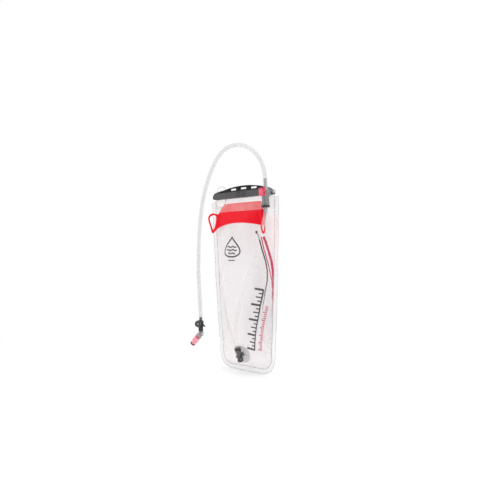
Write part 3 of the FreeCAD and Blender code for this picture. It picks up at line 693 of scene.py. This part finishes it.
def stroke(path, width, tree, closed=False):
    """A printed line on the front film: a ribbon along points (x, z), width constant or a list."""
    dense, widths = [], []
    count = len(path)
    spans = count if closed else count - 1
    for i in range(spans):
        a, b = Vector(path[i]), Vector(path[(i + 1) % count])
        wa = width[i] if isinstance(width, list) else width
        wb = width[(i + 1) % count] if isinstance(width, list) else width
        pieces = max(1, math.ceil((b - a).length / PRINT_STEP))
        for k in range(pieces):
            dense.append(a + (b - a) * k / pieces)
            widths.append(wa + (wb - wa) * k / pieces)
    if not closed:
        dense.append(Vector(path[-1]))
        widths.append(width[-1] if isinstance(width, list) else width)
    total, columns = len(dense), 5
    points = []
    for i, (place, wide) in enumerate(zip(dense, widths)):
        before = dense[i - 1] if closed or i else dense[0]
        after = dense[(i + 1) % total] if closed or i < total - 1 else dense[-1]
        along = (after - before).normalized()
        across = Vector((-along.y, along.x))
        for j in range(columns):
            t = j / (columns - 1) - 0.5
            x, z = place + across * wide * t
            hit = tree.ray_cast(Vector((x, -0.1, z)), Vector((0, 1, 0)), 0.2)[0]
            y = hit.y if hit else 0.0
            points.append(Vector((x, y - PRINT_LIFT, z)))
    faces = grid_faces(total, columns)
    if closed:
        last = (total - 1) * columns
        faces += [(last + j, last + j + 1, j + 1, j) for j in range(columns - 1)]
    return points, faces


def printed(name, strokes, look, tree):
    points, faces = [], []
    for item in strokes:
        more_points, more_faces = stroke(tree=tree, **item)
        offset = len(points)
        points += more_points
        faces += [tuple(i + offset for i in f) for f in more_faces]
    piece = mesh_piece(name, points, faces)
    piece.data.materials.append(look.material)
    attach(piece, "bag")
    return piece


def smooth_path(control, steps=10):
    """A smooth line in (x, z) through the control points."""
    line = []
    ends = [control[0]] + list(control) + [control[-1]]
    for i in range(1, len(ends) - 2):
        p0, p1, p2, p3 = (Vector(p) for p in ends[i - 1:i + 3])
        for k in range(steps):
            t = k / steps
            line.append(tuple(0.5 * ((2 * p1) + (p2 - p0) * t
                                     + (2 * p0 - 5 * p1 + 4 * p2 - p3) * t ** 2
                                     + (3 * p1 - p0 - 3 * p2 + p3) * t ** 3)))
    line.append(tuple(control[-1]))
    return line


def taper(count, wide, narrow):
    return [wide + (narrow - wide) * i / (count - 1) for i in range(count)]


def ink(name, colour, fade=None):
    look = Look(name, colour, 0.42, Specular_IOR_Level=0.4)
    look.colours(look.noise(180.0, 3.0), tuple(c * 0.8 for c in colour), colour)
    look.bump(look.noise(700.0, 2.0), 0.00004, 0.5)
    worn = look.span(look.noise(500.0, 2.0), 0.25, 0.45, 0.75, 0.95)
    if fade:
        low, high = fade
        worn = look.math("MULTIPLY", worn, look.span(look.axis("Z"), low, high))
    look.clear(worn, (0.97, 0.96, 0.96))
    return look


DROP_CENTRE = (-0.0105, -0.129)
SCALE_FOOT = (0.0240, -0.3480)
SCALE_HEAD = (0.0520, -0.2190)


def droplet(scale):
    """A plain water-drop outline."""
    path = []
    for i in range(48):
        angle = 2 * math.pi * i / 48
        pinch = math.sin(angle / 2) ** 1.7
        path.append((DROP_CENTRE[0] + scale * 0.0350 * math.sin(angle) * pinch,
                     DROP_CENTRE[1] + scale * 0.0215 * math.cos(angle)))
    return path


def graphics(front):
    tree = surface_of(front)
    dark = ink("dark_ink", (0.055, 0.05, 0.055))
    drop = [{"path": droplet(1.0), "width": 0.0034, "closed": True}]
    for level, half in ((-0.1290, 0.0135), (-0.1360, 0.0155), (-0.1430, 0.0110)):
        wave = [(DROP_CENTRE[0] + half * (2 * k / 16 - 1),
                 level + 0.0011 * math.sin(2 * math.pi * k / 8)) for k in range(17)]
        drop.append({"path": wave, "width": 0.0028})
    drop.append({"path": [(-0.0205, -0.1580), (-0.0005, -0.1580)], "width": 0.0022})
    printed("drop_print", drop, dark, tree)

    foot, head = Vector(SCALE_FOOT), Vector(SCALE_HEAD)
    along = (head - foot).normalized()
    across = Vector((-along.y, along.x))
    bars = [{"path": [tuple(foot - across * 0.0085), tuple(head - across * 0.0085)],
             "width": 0.0024}]
    ticks = 17
    for i in range(ticks):
        base = foot + (head - foot) * i / (ticks - 1)
        long = 0.0165 if i % 4 == 0 else (0.0105 if i % 2 == 0 else 0.0065)
        wide = 0.0044 if i % 4 == 0 else 0.0028
        bars.append({"path": [tuple(base - across * 0.0085),
                              tuple(base - across * (0.0085 - long))], "width": wide})
    printed("level_scale", bars, dark, tree)

    red = ink("red_ink", (0.62, 0.03, 0.09))
    fine = []
    foot, head = Vector((0.0475, -0.350)), Vector((0.0672, -0.257))
    along = (head - foot).normalized()
    across = Vector((-along.y, along.x))
    for i in range(24):
        base = foot + (head - foot) * i / 23
        long = 0.0075 if i % 4 == 0 else 0.0048
        fine.append({"path": [tuple(base), tuple(base + across * long)], "width": 0.0021})
    printed("fine_scale", fine, red, tree)

    black_line = smooth_path([(0.0470, -0.0965), (0.0535, -0.111), (0.0604, -0.1365),
                              (0.0655, -0.160), (0.0680, -0.181), (0.0665, -0.202),
                              (0.0625, -0.225), (0.0560, -0.264), (0.0500, -0.300)])
    widths = taper(8, 0.0050, 0.0026) + taper(len(black_line) - 8, 0.0026, 0.0012)
    printed("black_stripe", [{"path": black_line, "width": widths}],
            ink("black_fading_ink", (0.03, 0.03, 0.035), (-0.300, -0.200)), tree)
    thin = smooth_path([(0.0580, -0.109), (0.0640, -0.1366), (0.0700, -0.166),
                        (0.0738, -0.192), (0.0748, -0.218), (0.0740, -0.240)])
    wide = smooth_path([(0.0625, -0.1085), (0.0690, -0.128), (0.0742, -0.1536),
                        (0.0770, -0.179), (0.0768, -0.206), (0.0752, -0.238),
                        (0.0722, -0.278)])
    stripes = [
        {"path": thin, "width": taper(len(thin), 0.0022, 0.0012)},
        {"path": wide, "width": taper(len(wide), 0.0046, 0.0024)},
    ]
    printed("red_stripes", stripes, ink("red_fading_ink", (0.60, 0.03, 0.10), (-0.300, -0.170)),
            tree)


# ---- hose and tube ----

def hose_look(name, light, dark, centre, edge):
    """Clear flexible tube: each wall hides little, and more where it turns away."""
    look = Look(name, light, 0.14, Specular_IOR_Level=0.5, IOR=1.45)
    look.colours(look.noise(25.0, 3.0), dark, light)
    look.bump(look.noise(60.0, 2.0, (1.0, 1.0, 0.3)), 0.00006, 0.3)
    look.rough(look.noise(90.0, 3.0), 0.10, 0.20)
    look.clear(look.span(look.facing(0.35), 0.1, 0.95, centre, edge), (0.995, 0.995, 0.995))
    return look


def hoses():
    line = nurbs_points(HOSE_ROUTE)
    hose = hollow_tube("drinking_hose", line, TUBE_OD / 2, TUBE_ID / 2)
    hose.data.materials.append(hose_look("hose_plastic", (0.70, 0.70, 0.71), (0.58, 0.58, 0.59), 0.17,
                                         0.42).material)
    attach(hose, "hose")
    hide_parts("hose")

    line = nurbs_points(TUBE_ROUTE)
    lower = hollow_tube("lower_tube_clear", line, TUBE_OD / 2, TUBE_ID / 2)
    lower.data.materials.append(hose_look("tube_plastic", (0.92, 0.90, 0.87), (0.82, 0.80, 0.78), 0.13,
                                          0.36).material)
    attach(lower, "bag")
    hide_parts("lower_tube")


# ---- CAD pieces that stay, with real finishes ----

def finish_node(node, look, bevel=0.0):
    piece = NODES[node]
    piece.data.materials.clear()
    piece.data.materials.append(look.material)
    if bevel:
        edge = piece.modifiers.new("edge", "BEVEL")
        edge.width = bevel
        edge.segments = 2
        edge.limit_method = "ANGLE"
        edge.angle_limit = math.radians(35)
        edge.harden_normals = True
        piece.data.polygons.foreach_set("use_smooth", [True] * len(piece.data.polygons))


def translucent(name, light, dark, solid, tint, roughness=0.2):
    look = moulded(name, light, dark, roughness, 500.0, 0.00003, Specular_IOR_Level=0.55)
    edge = look.span(look.facing(0.5), 0.2, 0.95, solid, min(1.0, solid + 0.35))
    look.clear(edge, tint)
    return look


def fittings():
    nylon = moulded("slider_nylon", (0.10, 0.10, 0.10), (0.07, 0.07, 0.072), 0.5, 1500.0,
                    0.00006, Specular_IOR_Level=0.18)
    handle = nylon.span(nylon.axis("Z"), -0.0085, -0.0040)
    body = nylon.mixed(nylon.wave(62.0), (0.060, 0.060, 0.062), (0.115, 0.115, 0.117))
    ends = nylon.span(nylon.math("ABSOLUTE", nylon.axis("X"), 0.0), 0.046, 0.050)
    body = nylon.mixed(ends, body, (0.095, 0.095, 0.097))
    nylon.colours(handle, body, (0.012, 0.012, 0.013))
    finish_node("slider_bar", nylon, 0.0006)
    rail = translucent("rail_plastic", (0.75, 0.75, 0.74), (0.68, 0.68, 0.67), 0.5,
                       (0.95, 0.95, 0.95))
    finish_node("front_mouth_rail", rail)
    finish_node("back_mouth_rail", rail)
    red = moulded("red_tpu", (0.83, 0.004, 0.020), (0.74, 0.002, 0.013), 0.45, 800.0, 0.00005,
                  Specular_IOR_Level=0.12)
    finish_node("grip_band", red, 0.0004)
    strap = translucent("strap_film", (0.85, 0.85, 0.85), (0.78, 0.78, 0.78), 0.25,
                        (0.96, 0.96, 0.96))
    finish_node("tether_loop", strap, 0.0002)
    disc = translucent("port_disc", (0.66, 0.65, 0.65), (0.56, 0.55, 0.55), 0.28,
                       (0.95, 0.95, 0.955), 0.12)
    finish_node("port_flange", disc, 0.0003)
    dark = moulded("port_plastic", (0.115, 0.112, 0.108), (0.022, 0.021, 0.020), 0.26, 900.0)
    dark.colours(dark.span(dark.noise(170.0, 2.0), 0.38, 0.62), (0.020, 0.020, 0.019),
                 (0.125, 0.122, 0.118))
    finish_node("port_elbow", dark)
    finish_node("port_collar", dark)
    rubber = moulded("black_rubber", (0.02, 0.02, 0.02), (0.012, 0.012, 0.012), 0.6, 1200.0)
    for node in ("port_gasket", "plug_o_ring", "elbow_seal"):
        finish_node(node, rubber)
    grey = moulded("coupling_grey", (0.26, 0.265, 0.27), (0.12, 0.125, 0.127), 0.20, 700.0,
                   0.00003, Coat_Weight=0.5)
    finish_node("socket_body", grey)
    pale = moulded("plug_grey", (0.40, 0.41, 0.41), (0.33, 0.34, 0.34), 0.22, 700.0, 0.00003,
                   Coat_Weight=0.25)
    for node in ("coupling_plug", "socket_barb"):
        finish_node(node, pale)
    black = moulded("ring_black", (0.025, 0.025, 0.026), (0.015, 0.015, 0.015), 0.35, 900.0)
    for node in ("socket_ring", "swivel_barb", "clip_housing"):
        finish_node(node, black)
    cover = moulded("cover_black", (0.03, 0.03, 0.03), (0.02, 0.02, 0.02), 0.3, 900.0)
    finish_node("clip_cover", cover)
    # painted highlight: a lighter ring round the rim of the clip cover's face, outside the pale centre
    # dot
    centre = cover.distance(CLIP_FACE)
    ring = cover.span(centre, 0.0042, 0.0050)
    rim_highlight = cover.mixed(ring, (0.02, 0.02, 0.02), (0.10, 0.10, 0.10))
    cover.colours(cover.span(centre, 0.0020, 0.0026), (0.26, 0.26, 0.26), rim_highlight)
    steel = moulded("spring_steel", (0.55, 0.55, 0.56), (0.45, 0.45, 0.46), 0.25, 600.0,
                    0.00002, Metallic=1.0)
    for node in ("valve_spring", "button_spring", "clip_magnet"):
        finish_node(node, steel)
    finish_node("valve_poppet", moulded("poppet_white", (0.8, 0.8, 0.8), (0.7, 0.7, 0.7), 0.4))
    button = moulded("button_red", (0.72, 0.012, 0.055), (0.45, 0.006, 0.03), 0.20, 700.0, 0.00003,
                     Coat_Weight=0.6)
    # painted highlights: pinkish spots scattered at random over the release button
    button.colours(button.span(button.noise(150.0, 2.0), 0.42, 0.62), (0.66, 0.010, 0.05),
                   (0.82, 0.12, 0.19))
    finish_node("release_button", button, 0.0005)
    clear = translucent("elbow_clear", (0.66, 0.67, 0.68), (0.42, 0.43, 0.44), 0.32,
                        (0.88, 0.88, 0.89), 0.06)
    clear.colours(clear.span(clear.noise(240.0, 2.0), 0.4, 0.6), (0.40, 0.40, 0.41),
                  (0.92, 0.92, 0.93))
    finish_node("elbow", clear)
    core = translucent("valve_pink", (0.90, 0.30, 0.36), (0.70, 0.16, 0.22), 0.75,
                       (0.97, 0.62, 0.66), 0.2)
    finish_node("valve_core", core)
    sheath = moulded("sheath_pink", (0.92, 0.42, 0.48), (0.84, 0.24, 0.31), 0.35, 500.0, 0.00003,
                     Specular_IOR_Level=0.5)
    spots = sheath.mixed(sheath.span(sheath.noise(330.0, 2.0), 0.42, 0.58), (0.76, 0.18, 0.25),
                         (0.92, 0.46, 0.52))
    # painted shadow: the sheath's end turns deep maroon where the slit's hollow lies in shade
    tip_shadow = sheath.span(sheath.distance(ELBOW_CENTRE), 0.0335, 0.0355)
    sheath.colours(tip_shadow, spots, (0.16, 0.006, 0.018))
    finish_node("bite_sheath", sheath)


add_camera()
hoses()
front_film = bag()
graphics(front_film)
fittings()
add_studio()
